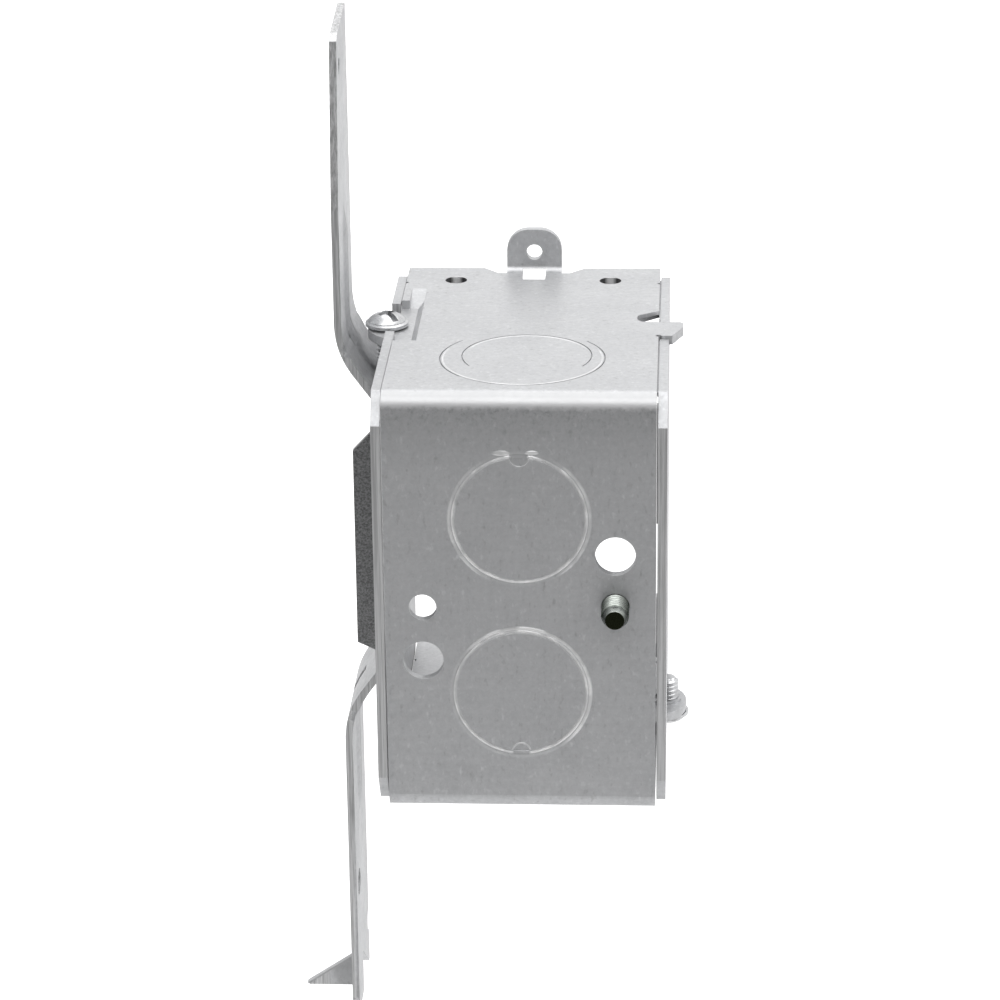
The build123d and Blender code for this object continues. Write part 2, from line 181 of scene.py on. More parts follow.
def distanceTo(tree, across, upward, centre):
    first = mathNode(tree, "SUBTRACT", across, centre[0])
    second = mathNode(tree, "SUBTRACT", upward, centre[1])
    return mathNode(tree, "SQRT", squareSum(tree, first, second))


def softRing(tree, distance, radius, halfWidth, core=0.35):
    gap = mathNode(tree, "ABSOLUTE", mathNode(tree, "SUBTRACT", distance, radius))
    return mapRange(tree, gap, halfWidth * core, halfWidth, 1, 0)


def above(tree, value, limit, soft):
    return mapRange(tree, value, limit - soft, limit + soft, 0, 1)


def below(tree, value, limit, soft):
    return mathNode(tree, "SUBTRACT", 1, above(tree, value, limit, soft))


def softSpot(tree, across, upward, centre, size, core=0.4):
    first = mathNode(tree, "DIVIDE", mathNode(tree, "SUBTRACT", across, centre[0]), size[0])
    second = mathNode(tree, "DIVIDE", mathNode(tree, "SUBTRACT", upward, centre[1]), size[1])
    return mapRange(tree, squareSum(tree, first, second), core, 1.0, 1, 0)


# Galvanised sheet: fine mottled zinc with faint rolling streaks and soft cloudy stains
zinc = {
    "light": (0.60, 0.605, 0.615),
    "dark": (0.45, 0.455, 0.465),
    "fleck": (0.74, 0.745, 0.755),
    "soot": (0.30, 0.30, 0.305),
    "flecks": (1100.0, 1100.0, 620.0),  # short upright dashes
    "fleckRange": (0.6, 0.78, 0.55),  # from, full at, strength
    "sootRange": (0.4, 0.22, 0.5),
    "grain": 1100.0,  # noise scales are per metre
    "cloud": 95.0,
    "streak": (60.0, 60.0, 900.0),
    "shares": (0.45, 0.4, 0.15),  # of grain, cloud and streak in the mottling
    "noiseSpan": (0.3, 0.7),
    "rough": (0.34, 0.48),
    "grainBump": 0.012 * mm,
    "cutEdge": (0.60, 0.602, 0.607),
    "cutFacing": (0.9, 0.05),
    "cutSpan": (0.36, 0.64),
    "cutStrength": 0.95,
    "plateStreaks": ((2800.0, 2800.0, 45.0), 0.72, 1.2),  # scale, then the dull and the clean share
    "stripStreaks": ((2600.0, 2600.0, 70.0), 0.6, 1.2),
    "cloudBump": 0.05 * mm,
    "rimBump": 0.14 * mm,
    "edgeRound": 0.12 * mm,
    "metallic": 0.62,
}


def zincBase(tree, z):
    vector = objectCoords(tree)
    grain = noise(tree, vector, z["grain"], detail=3.0, rough=0.7)
    cloud = noise(tree, vector, z["cloud"], detail=5.0, rough=0.55, distortion=0.3)
    streak = noise(tree, objectCoords(tree, scale=z["streak"]), 1.0, detail=2.0)
    blend = None
    for layer, share in zip((grain, cloud, streak), z["shares"]):
        part = times(tree, mapRange(tree, layer, *z["noiseSpan"], 0, 1), share)
        blend = part if blend is None else mathNode(tree, "ADD", blend, part)
    color = mixColor(tree, blend, z["dark"], z["light"])
    dashes = noise(tree, objectCoords(tree, scale=z["flecks"]), 1.0, detail=2.0, rough=0.6)
    start, full, strength = z["fleckRange"]
    color = mixColor(tree, mapRange(tree, dashes, start, full, 0, strength), color, z["fleck"])
    start, full, strength = z["sootRange"]
    color = mixColor(tree, mapRange(tree, dashes, full, start, strength, 0), color, z["soot"])
    return vector, (grain, cloud, blend), color


# Sheared edges that face the back; with ends, those that face up or down too
def cutEdges(tree, z, color, streaks, ends=False):
    facing = separate(tree, addNode(tree, "ShaderNodeTexCoord").outputs["Normal"])
    outward = facing[1]
    if ends:
        outward = mathNode(tree, "MAXIMUM", outward, mathNode(tree, "ABSOLUTE", facing[2]))
    edge = above(tree, outward, *z["cutFacing"])
    scale, low, high = streaks
    lines = noise(tree, objectCoords(tree, scale=scale), 1.0, detail=3.0, rough=0.7)
    dimTone, clean = (tuple(c * k for c in z["cutEdge"]) for k in (low, high))
    torn = mixColor(tree, mapRange(tree, lines, *z["cutSpan"], 0, 1), dimTone, clean)
    return mixColor(tree, times(tree, edge, z["cutStrength"]), color, torn)


def finishZinc(tree, shader, z, color, layers, relief=None):
    grain, cloud, blend = layers
    tree.links.new(color, shader.inputs["Base Color"])
    tree.links.new(mapRange(tree, blend, 0.1, 0.9, *reversed(z["rough"])), shader.inputs["Roughness"])
    shader.inputs["Metallic"].default_value = z["metallic"]
    edge = addNode(tree, "ShaderNodeBevel", samples=4, Radius=z["edgeRound"])
    normal = edge.outputs["Normal"]
    bumps = [(grain, z["grainBump"]), (cloud, z["cloudBump"])]
    if relief is not None:
        bumps.append((relief, z["rimBump"]))
    for height, distance in bumps:
        bump = addNode(tree, "ShaderNodeBump", Strength=1.0, Distance=distance)
        tree.links.new(height, bump.inputs["Height"])
        tree.links.new(normal, bump.inputs["Normal"])
        normal = bump.outputs["Normal"]
    tree.links.new(normal, shader.inputs["Normal"])


def makePlainZinc(name, z):
    mat, tree, shader = newMaterial(name)
    layers, color = zincBase(tree, z)[1:]
    color = cutEdges(tree, z, color, z["plateStreaks"])
    finishZinc(tree, shader, z, color, layers)
    return mat


# Stud bracket: the same zinc with painted shade on the flange, speckled, and a painted shadow along the
# bead's far flank
stripPaintedShade = {
    "start": (39.0 * mm, 0.2 * mm),
    "foot": (-21.6 * mm, 0.1 * mm),
    # painted shade on the flange, speckled
    "color": (0.27, 0.272, 0.275),
    "speck": (0.12, 0.121, 0.123),
    "speckScale": 2600.0,
    "speckSpan": (0.4, 0.6),
    # painted shadow along the bead's far flank
    "beadSide": (28.0 * mm, 0.6 * mm),
    "beadStart": (35.5 * mm, 1.5 * mm),
    "beadEnd": (58.5 * mm, 0.6 * mm),
    "beadShadowColor": (0.20, 0.20, 0.205),
    "beadShadowStrength": 0.75,
}


def makeStripZinc(name, z, tone):
    mat, tree, shader = newMaterial(name)
    vector, layers, color = zincBase(tree, z)
    color = cutEdges(tree, z, color, z["stripStreaks"], ends=True)
    x, y, height = separate(tree, vector)
    # painted shade on the flange, speckled
    onFlange = times(tree, above(tree, y, *tone["start"]), above(tree, height, *tone["foot"]))
    specks = noise(tree, vector, tone["speckScale"], detail=4.0, rough=0.75)
    dimTone = mixColor(tree, mapRange(tree, specks, *tone["speckSpan"], 0, 1), tone["speck"], tone["color"])
    color = mixColor(tree, onFlange, color, dimTone)
    # painted shadow along the bead's far flank
    level = mathNode(tree, "ABSOLUTE", height)
    paintedFlankShade = times(tree, softRing(tree, y, *tone["beadSide"]), above(tree, level, *tone["beadStart"]),
                  below(tree, level, *tone["beadEnd"]), tone["beadShadowStrength"])
    color = mixColor(tree, paintedFlankShade, color, tone["beadShadowColor"])
    finishZinc(tree, shader, z, color, layers)
    return mat


# Painted light and shade on the box: a painted highlight on the top bend and painted shade below it,
# painted highlights and shade lines at the knockout rims and ties, painted shade and a painted highlight in
# the tapped holes; also dark specks below the bend
boxMarksAndPaintedLight = {
    "onBack": (69.7 * mm, 0.05 * mm),
    "nearBack": (68.4 * mm, 0.5 * mm),
    "onTop": (37.9 * mm, 0.05 * mm),
    "patches": (260.0, (0.42, 0.58), 0.5),  # scale, span, lowest
    "paintedHighlightColor": (1.0, 1.0, 1.0),
    "darkSpeckAndShadeColor": (0.16, 0.16, 0.165),
    # top bend and foot of the back wall: painted shade just below the bend, a slight painted light at the
    # foot, a painted highlight band on the bend
    "wobble": 9 * mm,
    "bendShade": ((34.9 * mm, 24.0 * mm), 0.84),  # painted shade just below the bend
    "bendCap": (34.9 * mm, 36.2 * mm),
    "footShade": ((-5.0 * mm, -37.0 * mm), 1.02),
    "bendHighlightBand": (35.55 * mm, 0.4 * mm),
    "bendFront": (67.9 * mm, 0.4 * mm),
    "bendRagged": (700.0, 1.6 * mm),
    "bendRise": (36.2 * mm, 37.4 * mm),
    "bendHighlightColors": ((0.74, 0.74, 0.75), (0.42, 0.422, 0.427)),
    "bendHighlightStrength": 0.85,
    "bendSpeckBand": (30.0 * mm, 35.3 * mm),
    "bendSpeckTop": (35.4 * mm, 35.9 * mm),
    "bendSpecks": (1500.0, (0.5, 0.72), 0.45),  # dark specks below the bend: scale, span, strength
    # knockouts of the back wall, upper first: painted highlight rims, halos and tie rings, painted shade
    # lines just outside the rims
    "backCentres": (15.875 * mm, -15.875 * mm),
    "backRim": (11.26 * mm, 0.4 * mm),
    "backHalo": (11.85 * mm, 0.42 * mm),
    "haloStrength": (0.6, 0.95),
    "haloSides": (5 * mm, 9 * mm, 0.15),
    "haloSlant": (2 * mm, 0.2),
    "backLine": (11.6 * mm, 0.12 * mm),
    "lineStrength": 0.35,
    "tieReach": 11.1 * mm,
    "tieClear": (1.5 * mm, 0.2 * mm),
    "tieRing": (1.55 * mm, 0.22 * mm),
    "tieSoft": 0.2 * mm,
    "tieStrength": (0.25, 0.6),
    "streaks": (  # painted highlight spots beside the upper tie: centre and half size
        ((3.0 * mm, 27.7 * mm), (1.7 * mm, 0.5 * mm)),
        ((-2.2 * mm, 27.8 * mm), (1.2 * mm, 0.4 * mm)),
    ),
    "highlightSpotStrength": 0.7,
    # knockout of the top wall: painted highlight rings and painted shade lines
    "topOuter": ((0.1 * mm, 50.95 * mm), 14.1 * mm),
    "topInner": ((-0.6 * mm, 49.65 * mm), 11.1 * mm),
    "topFade": (5 * mm, 3 * mm),
    "topRim": (0.45 * mm, 0.25 * mm, 0.55),  # painted highlight ring: how far inside the cut, half width, strength
    "topLine": (0.16 * mm, 0.8),
    # tapped holes behind the ears: painted shade inside, with a painted highlight down the middle
    "plasterHole": (14.0 * mm, 7.45 * mm),
    "plasterEdge": (1.97 * mm, 0.03 * mm),
    "plasterMiddle": (0.5 * mm, 1.1 * mm),
    "holeShadeColor": (0.06, 0.06, 0.062),
}


# Painted shade below the top bend, slight painted light towards the foot of the back wall, and a painted
# highlight band on the bend
def paintedBendLight(tree, m, vector, cloud, color):
    x, y, height = separate(tree, vector)
    wobble = times(tree, mathNode(tree, "SUBTRACT", cloud, 0.5), m["wobble"])
    level = mathNode(tree, "ADD", height, wobble)
    # painted shade below the bend, and slight painted light towards the foot
    (start, end), tone = m["bendShade"]
    under = mapRange(tree, level, end, start, 1, tone)
    shade = mathNode(tree, "MAXIMUM", under, mapRange(tree, height, *m["bendCap"], 0, 1))
    (start, end), tone = m["footShade"]
    shade = times(tree, shade, mapRange(tree, level, end, start, tone, 1))
    shadeMix = addNode(tree, "ShaderNodeCombineXYZ")
    for slot in range(3):
        tree.links.new(shade, shadeMix.inputs[slot])
    shaded = mixColor(tree, 1.0, color, shadeMix.outputs[0], blend="MULTIPLY")
    color = mixColor(tree, above(tree, y, *m["nearBack"]), color, shaded)
    # painted highlight band on the bend, turning darker towards the top wall
    scale, reach = m["bendRagged"]
    wander = mathNode(tree, "SUBTRACT", noise(tree, vector, scale, detail=3.0), 0.5)
    ragged = mathNode(tree, "ADD", height, times(tree, wander, reach))
    band = times(tree, above(tree, ragged, *m["bendHighlightBand"]), above(tree, y, *m["bendFront"]))
    band = times(tree, band, m["bendHighlightStrength"])
    bendHighlightColor = mixColor(tree, mapRange(tree, height, *m["bendRise"], 0, 1), *m["bendHighlightColors"])
    return mixColor(tree, band, color, bendHighlightColor)


# Painted highlights at the back knockouts' rims, halos and ties and in two spots beside the upper tie, and
# a painted shade line just outside each rim
def paintedBackKnockoutLight(tree, m, x, height, onBack, patchy, bright, dark):
    for which, centre in enumerate(m["backCentres"]):
        away = distanceTo(tree, x, height, (0, centre))
        tieZ = centre + math.copysign(m["tieReach"], centre)
        fromTie = distanceTo(tree, x, height, (0, tieZ))
        clear = above(tree, fromTie, *m["tieClear"])
        bright = gather(tree, bright, softRing(tree, away, *m["backRim"]), onBack, patchy, clear)
        near, far, least = m["haloSides"]
        sides = mapRange(tree, mathNode(tree, "ABSOLUTE", x), near, far, least, 1)
        if which == 1:
            reach, least = m["haloSlant"]
            slant = mathNode(tree, "SUBTRACT", height, x)
            sides = mapRange(tree, slant, centre - reach, centre + reach, least, 1)
        halo = softRing(tree, away, *m["backHalo"])
        bright = gather(tree, bright, halo, sides, onBack, patchy, m["haloStrength"][which])
        line = softRing(tree, away, *m["backLine"])
        dark = gather(tree, dark, line, onBack, patchy, m["lineStrength"])
        tie = softRing(tree, fromTie, *m["tieRing"])
        inner = below(tree, mathNode(tree, "ABSOLUTE", height), abs(tieZ), m["tieSoft"])
        bright = gather(tree, bright, tie, onBack, inner, m["tieStrength"][which])
    for centre, size in m["streaks"]:
        spot = softSpot(tree, x, height, centre, size)
        bright = gather(tree, bright, spot, onBack, patchy, m["highlightSpotStrength"])
    return bright, dark


# Painted highlight rings just inside the top knockout's cuts and painted shade lines on them, the outer
# ring on the back side, the inner on the front side
def paintedTopKnockoutLight(tree, m, x, y, onTop, patchy, bright, dark):
    for (centre, radius), ends in ((m["topOuter"], (0, 1)), (m["topInner"], (1, 0))):
        away = distanceTo(tree, x, y, centre)
        start, end = (centre[1] - v for v in m["topFade"])
        side = mapRange(tree, y, start, end, *ends)
        inset, half, strength = m["topRim"]
        rim = softRing(tree, away, radius - inset, half)
        bright = gather(tree, bright, rim, onTop, side, patchy, strength)
        half, strength = m["topLine"]
        line = softRing(tree, away, radius, half)
        dark = gather(tree, dark, line, onTop, side, patchy, strength)
    return bright, dark


# Painted shade in the tapped holes, with a painted highlight down the middle
def paintedHoleLight(tree, m, x, y, color):
    across, back = m["plasterHole"]
    aside = mathNode(tree, "SUBTRACT", mathNode(tree, "ABSOLUTE", x), across)
    aside = mathNode(tree, "ABSOLUTE", aside)
    inHole = below(tree, distanceTo(tree, aside, y, (0, back)), *m["plasterEdge"])
    middle = mapRange(tree, aside, *m["plasterMiddle"], 1, 0)
    return mixColor(tree, inHole, color, mixColor(tree, middle, m["holeShadeColor"], m["paintedHighlightColor"]))


def makeBoxZinc(name, z, m):
    mat, tree, shader = newMaterial(name)
    vector, layers, color = zincBase(tree, z)
    x, y, height = separate(tree, vector)
    scale, span, least = m["patches"]
    patchy = mapRange(tree, noise(tree, vector, scale, detail=2.0), *span, least, 1)
    onBack = above(tree, y, *m["onBack"])
    onTop = above(tree, mathNode(tree, "ABSOLUTE", height), *m["onTop"])
    # painted shade, painted light and painted highlight of the top bend
    color = paintedBendLight(tree, m, vector, layers[1], color)
    # dark specks in a band just below the bend
    scale, span, strength = m["bendSpecks"]
    specks = mapRange(tree, noise(tree, vector, scale, detail=3.0, rough=0.7), *span, 0, 1)
    speckBand = mapRange(tree, height, *m["bendSpeckBand"], 0, 1)
    speckBand = times(tree, speckBand, mapRange(tree, height, *m["bendSpeckTop"], 1, 0))
    dark = gather(tree, None, speckBand, specks, onBack, strength)
    bright, dark = paintedBackKnockoutLight(tree, m, x, height, onBack, patchy, None, dark)
    bright, dark = paintedTopKnockoutLight(tree, m, x, y, onTop, patchy, bright, dark)
    # mix in the painted highlights, then the dark specks and the painted shade lines
    color = mixColor(tree, bright, color, m["paintedHighlightColor"])
    color = mixColor(tree, dark, color, m["darkSpeckAndShadeColor"])
    # painted shade and painted highlight in the tapped holes
    color = paintedHoleLight(tree, m, x, y, color)
    finishZinc(tree, shader, z, color, layers, relief=bright)
    return mat


# Screws: bright zinc plate, and a green ground screw whose thread has a painted highlight along the top,
# painted shade on the flanks and a dark tip
plating = {
    "brightZinc": {"color": (0.66, 0.665, 0.675), "rough": 0.24, "thread": None},
    "groundGreen": {
        "color": (0.46, 0.49, 0.46),
        "rough": 0.2,
        "thread": {
            "outside": (69.9 * mm, 0.1 * mm),
            "crown": (-16.15 * mm, 1.7 * mm),  # painted highlight along the top, painted shade on the flanks away from it
            "fade": (0.9 * mm, 2.3 * mm),
            "paintedFlankShade": (0.045, 0.055, 0.045),
            "tip": (75.9 * mm, 0.02 * mm),
            "tipColor": (0.016, 0.019, 0.010),
        },
    },
}
wear = {"scale": 420.0, "span": (0.35, 0.65), "share": 0.72}
grit = {"scale": 1500.0, "span": (0.3, 0.7), "rough": 0.14, "bump": 0.008 * mm}


def makePlating(name, p):
    mat, tree, shader = newMaterial(name)
    vector = objectCoords(tree)
    grain = noise(tree, vector, grit["scale"], detail=2.0)
    worn = mapRange(tree, noise(tree, vector, wear["scale"], detail=4.0), *wear["span"], 0, 1)
    color = mixColor(tree, worn, tuple(c * wear["share"] for c in p["color"]), p["color"])
    thread = p["thread"]
    if thread:
        # painted highlight along the top of the thread, painted shade on its flanks
        x, y, height = separate(tree, vector)
        paintedFlankShade = mapRange(tree, distanceTo(tree, x, height, thread["crown"]), *thread["fade"], 0, 1)
        paintedFlankShade = times(tree, paintedFlankShade, above(tree, y, *thread["outside"]))
        color = mixColor(tree, paintedFlankShade, color, thread["paintedFlankShade"])
        color = mixColor(tree, above(tree, y, *thread["tip"]), color, thread["tipColor"])
    tree.links.new(color, shader.inputs["Base Color"])
    roughness = mapRange(tree, grain, *grit["span"], p["rough"], p["rough"] + grit["rough"])
    tree.links.new(roughness, shader.inputs["Roughness"])
    shader.inputs["Metallic"].default_value = 0.95
    bump = addNode(tree, "ShaderNodeBump", Strength=1.0, Distance=grit["bump"])
    tree.links.new(grain, bump.inputs["Height"])
    tree.links.new(bump.outputs["Normal"], shader.inputs["Normal"])
    return mat


boxZinc = makeBoxZinc("galvanisedBox", zinc, boxMarksAndPaintedLight)
plateZinc = makePlainZinc("galvanisedPlate", zinc)
stripZinc = makeStripZinc("galvanisedStrip", zinc, stripPaintedShade)
brightZinc = makePlating("brightZincPlate", plating["brightZinc"])
groundGreen = makePlating("groundScrewGreen", plating["groundGreen"])
finishes = {
    "box_body": boxZinc,
    "side_plate_bracket": plateZinc,
    "side_plate_free": plateZinc,
    "stud_bracket": stripZinc,
    "gang_screw_top": brightZinc,
    "gang_screw_bottom": brightZinc,
    "ground_screw": groundGreen,
}
for nodeName, finish in finishes.items():
    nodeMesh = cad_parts[nodeName].data
    nodeMesh.materials.clear()
    nodeMesh.materials.append(finish)
print("materials set")


def editAll(obj):
    bpy.context.view_layer.objects.active = obj
    bpy.ops.object.mode_set(mode="EDIT")
    bpy.ops.mesh.select_all(action="SELECT")


def turnedPiece(name, rings, sides=48):
    deselectAll()
    startZ, startR = rings[0]
    bpy.ops.mesh.primitive_circle_add(vertices=sides, radius=startR, fill_type="NGON")
    piece = bpy.context.object
    piece.name = name
    editAll(piece)
    bpy.ops.transform.translate(value=(0, 0, startZ))
    lastZ, lastR = startZ, startR
    for z, r in rings[1:]:
        bpy.ops.mesh.extrude_region_move(TRANSFORM_OT_translate={"value": (0, 0, z - lastZ)})
        bpy.ops.transform.resize(value=(r / lastR, r / lastR, 1), center_override=(0, 0, z))
        lastZ, lastR = z, r
    bpy.ops.mesh.select_all(action="SELECT")
    bpy.ops.mesh.normals_make_consistent(inside=False)
    bpy.ops.object.mode_set(mode="OBJECT")
    return piece


def cutWith(piece, cutter):
    bpy.context.view_layer.objects.active = piece
    modifier = piece.modifiers.new("cut", "BOOLEAN")
    modifier.operation = "DIFFERENCE"
    modifier.object = cutter
    modifier.solver = "EXACT"
    bpy.ops.object.modifier_apply(modifier=modifier.name)
    bpy.data.objects.remove(cutter)


def threadedShank(name, t):
    deselectAll()
    bpy.ops.mesh.primitive_plane_add(size=0.1 * mm, location=(t["core"], 0, 0))
    thread = bpy.context.object
    thread.name = name
    bpy.ops.object.transform_apply(location=True)
    editAll(thread)
    bpy.ops.mesh.merge(type="CENTER")  # one point, drawn on into a thread profile
    last = (t["core"], 0)
    for r, z in ((t["crest"], t["pitch"] * 0.4), (t["crest"], t["pitch"] * 0.6), (t["core"], t["pitch"])):
        step = (r - last[0], 0, z - last[1])
        bpy.ops.mesh.extrude_vertices_move(TRANSFORM_OT_translate={"value": step})
        last = (r, z)
    bpy.ops.object.mode_set(mode="OBJECT")
    screw = thread.modifiers.new("helix", "SCREW")
    screw.axis = "Z"
    screw.screw_offset = t["pitch"]
    screw.iterations = t["turns"]
    screw.steps = screw.render_steps = t["steps"]
    screw.use_merge_vertices = True
    screw.merge_threshold = 0.001 * mm
    bpy.ops.object.modifier_apply(modifier=screw.name)
    editAll(thread)
    bpy.ops.mesh.remove_doubles(threshold=0.002 * mm)
    bpy.ops.mesh.select_all(action="SELECT")
    bpy.ops.mesh.fill_holes(sides=0)
    bpy.ops.mesh.select_all(action="SELECT")
    bpy.ops.mesh.normals_make_consistent(inside=False)
    bpy.ops.object.mode_set(mode="OBJECT")
    return thread


def joinPieces(name, pieces):
    deselectAll()
    for piece in pieces:
        piece.select_set(True)
    bpy.context.view_layer.objects.active = pieces[0]
    bpy.ops.object.join()
    joined = bpy.context.object
    joined.name = name
    return joined


def placePiece(piece, place, turn):
    deselectAll()
    piece.select_set(True)
    bpy.context.view_layer.objects.active = piece
    piece.location = place
    piece.rotation_euler = turn
    bpy.ops.object.transform_apply(location=True, rotation=True, scale=True)


smoothBelow = 32  # degrees


def shadeAndDress(piece, finish, body, node):
    deselectAll()
    piece.select_set(True)
    bpy.context.view_layer.objects.active = piece
    bpy.ops.object.shade_smooth_by_angle(angle=math.radians(smoothBelow))
    weighted = piece.modifiers.new("weighted", "WEIGHTED_NORMAL")  # flat faces keep flat shading
    weighted.keep_sharp = True
    bpy.ops.object.modifier_apply(modifier=weighted.name)
    piece.data.materials.clear()
    piece.data.materials.append(finish)
    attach(piece, body)
    if node:
        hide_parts(node)


# Stud bracket: the CAD strap with rounder bends, a softer bead and a smaller end chamfer
strip = {
    "outerX": 33.5 * mm,
    "middleX": 26.1 * mm,
    "thick": 1.3 * mm,
    "root": 24.2 * mm,
    "shoulder": 34.4 * mm,
    "cadBend": 4.0 * mm,
    "bend": 16.0 * mm,
    "levels": (26.0, 27.5, 29.0, 30.5, 32.0, 33.2, 34.4, 35.6, 36.8, 38.0, 39.2, 40.6, 42.0),
    "beadKeep": 0.42,
    "beadGroove": (25.4 * mm, 28.6 * mm),
    "slack": 0.04 * mm,
    "freeFrom": 0.5 * mm,  # above the root
    "chamferFrom": (33.35 * mm, 87.4 * mm),
    "chamferTo": 88.85 * mm,
    "near": 0.1 * mm,
}


def bendX(p, z, radius):
    lean = math.atan2(p["outerX"] - p["middleX"], p["shoulder"] - p["root"])
    reach = radius * math.tan(lean / 2)
    if z >= p["shoulder"] + reach:
        return p["outerX"]
    if z <= p["shoulder"] - reach * math.cos(lean):
        return p["outerX"] - (p["shoulder"] - z) * math.tan(lean)
    rise = z - p["shoulder"] - reach
    return p["outerX"] - radius + math.sqrt(radius * radius - rise * rise)


def softenBead(p, x, y, z):
    run = Vector((p["outerX"] - p["middleX"], p["shoulder"] - p["root"])).normalized()
    inward = Vector((-run.y, run.x))
    fromLeg = p["outerX"] - x
    fromSlope = (Vector((x, z)) - Vector((p["middleX"], p["root"]))).dot(inward)
    depth = min(fromLeg, fromSlope)
    onCrown = depth > p["thick"] + p["slack"]
    inGroove = p["beadGroove"][0] < y < p["beadGroove"][1] and p["slack"] < depth < p["thick"] - p["slack"]
    if not (onCrown or inGroove):
        return x, z
    kept = p["thick"] + (depth - p["thick"]) * p["beadKeep"] if onCrown else depth * p["beadKeep"]
    if fromLeg <= fromSlope:
        return x + depth - kept, z
    return x - inward.x * (depth - kept), z - inward.y * (depth - kept)


def makeStrip(name, p):
    piece = bpy.data.objects.new(name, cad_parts["stud_bracket"].data.copy())
    bpy.context.scene.collection.objects.link(piece)
    deselectAll()
    piece.select_set(True)
    editAll(piece)
    bpy.ops.mesh.remove_doubles(threshold=0.002 * mm)
    for level in p["levels"]:
        for side in (1, -1):
            bpy.ops.mesh.select_all(action="SELECT")
            bpy.ops.mesh.bisect(plane_co=(0, 0, side * level * mm), plane_no=(0, 0, 1))
    bpy.ops.object.mode_set(mode="OBJECT")
    for vertex in piece.data.vertices:
        x, y, z = vertex.co
        side = math.copysign(1, z)
        z = abs(z)
        if z > p["root"] + p["freeFrom"] and x < p["outerX"] + 0.01 * mm:
            x, z = softenBead(p, x, y, z)
            x += bendX(p, z, p["bend"]) - bendX(p, z, p["cadBend"])
        fromY, fromZ = p["chamferFrom"]
        if side > 0 and abs(y - fromY) < p["near"] and abs(z - fromZ) < p["near"]:
            z = p["chamferTo"]
        vertex.co = (x, y, side * z)
    editAll(piece)
    bpy.ops.mesh.normals_make_consistent(inside=False)
    bpy.ops.object.mode_set(mode="OBJECT")
    return piece


stripPiece = makeStrip("studBracket", strip)
shadeAndDress(stripPiece, stripZinc, "bracket_side", "stud_bracket")
print("stud bracket made")


# Thin ribs that close most of the gap between the free side plate and the body
plateRibs = {
    "x": (-23.22 * mm, -23.02 * mm),
    "spans": (  # y from and to, z from and to, mm
        (64.2, 66.6, 14.0, 34.8),
        (64.2, 66.6, -10.5, 0.4),
        (39.4, 66.0, 36.5, 37.35),
        (5.0, 27.0, 36.5, 37.35),
    ),
    "round": 0.05 * mm,
}


def makePlateRibs(name, p):
    ribs = []
    for near, far, low, high in p["spans"]:
        deselectAll()
        middle = (sum(p["x"]) / 2, (near + far) / 2 * mm, (low + high) / 2 * mm)
        bpy.ops.mesh.primitive_cube_add(size=1, location=middle)
        rib = bpy.context.object
        rib.scale = (p["x"][1] - p["x"][0], (far - near) * mm, (high - low) * mm)
        bpy.ops.object.transform_apply(location=True, rotation=True, scale=True)
        editAll(rib)
        bpy.ops.mesh.bevel(offset=p["round"], segments=3)
        bpy.ops.mesh.remove_doubles(threshold=0.001 * mm)
        bpy.ops.object.mode_set(mode="OBJECT")
        ribs.append(rib)
    return joinPieces(name, ribs)


ribPiece = makePlateRibs("plateRibs", plateRibs)
shadeAndDress(ribPiece, plateZinc, "free_side", None)
print("plate ribs made")


# Clamping screws: a broad rim, a groove and a low crown with a slot and a short cross
clampScrew = {
    "seat": 36.75 * mm,
    "x": 24.95 * mm,
    "y": 29.45 * mm,
    "head": (  # height and radius, mm
        (0, 3.6), (0.1, 3.8), (0.62, 3.8), (0.76, 3.62), (0.8, 3.42), (0.9, 3.3),
        (1.02, 3.34), (1.3, 3.1), (1.65, 2.7), (2.0, 2.1), (2.25, 1.4), (2.38, 0.5),
    ),
    "slot": (8.6, 1.15, 0.95),
    "cross": (1.1, 3.2, 1.2),
    "slotTurn": 127,
    "shank": {"core": 1.5 * mm, "crest": 1.92 * mm, "pitch": 0.79 * mm, "turns": 7, "steps": 32},
    "threadRun": 7.9,  # in pitches, from the head down
    "length": 6.35,
    "point": ((0, 1.25), (0.5, 1.6), (0.9, 1.65)),
    "pointTop": (-0.2, 1.6),
}


def makeClampScrew(name, c):
    head = turnedPiece("head", [(z * mm, r * mm) for z, r in c["head"]], sides=64)
    topZ = c["head"][-1][0]
    for width, depth, drop in (c["slot"], c["cross"]):
        deselectAll()
        bpy.ops.mesh.primitive_cube_add(size=1, location=(0, 0, topZ * mm))
        cutter = bpy.context.object
        cutter.scale = (width * mm, depth * mm, 2 * drop * mm)
        cutter.rotation_euler = (0, 0, math.radians(c["slotTurn"]))
        bpy.ops.object.transform_apply(location=True, rotation=True, scale=True)
        cutWith(head, cutter)
    shank = threadedShank("shank", c["shank"])
    placePiece(shank, (0, 0, -c["shank"]["pitch"] * c["threadRun"]), (0, 0, 0))
    rings = [(z - c["length"], r) for z, r in c["point"]] + [c["pointTop"]]
    point = turnedPiece("point", [(z * mm, r * mm) for z, r in rings], sides=32)
    return joinPieces(name, [head, shank, point])


topScrew = makeClampScrew("topScrew", clampScrew)
bottomScrew = topScrew.copy()
bottomScrew.data = topScrew.data.copy()
bottomScrew.name = "bottomScrew"
bpy.context.scene.collection.objects.link(bottomScrew)
placePiece(topScrew, (clampScrew["x"], clampScrew["y"], clampScrew["seat"]), (0, 0, 0))
placePiece(bottomScrew, (-clampScrew["x"], clampScrew["y"], -clampScrew["seat"]), (0, math.pi, 0))
shadeAndDress(topScrew, brightZinc, "top_screw", "gang_screw_top")
shadeAndDress(bottomScrew, brightZinc, "bottom_screw", "gang_screw_bottom")
print("clamping screws made")


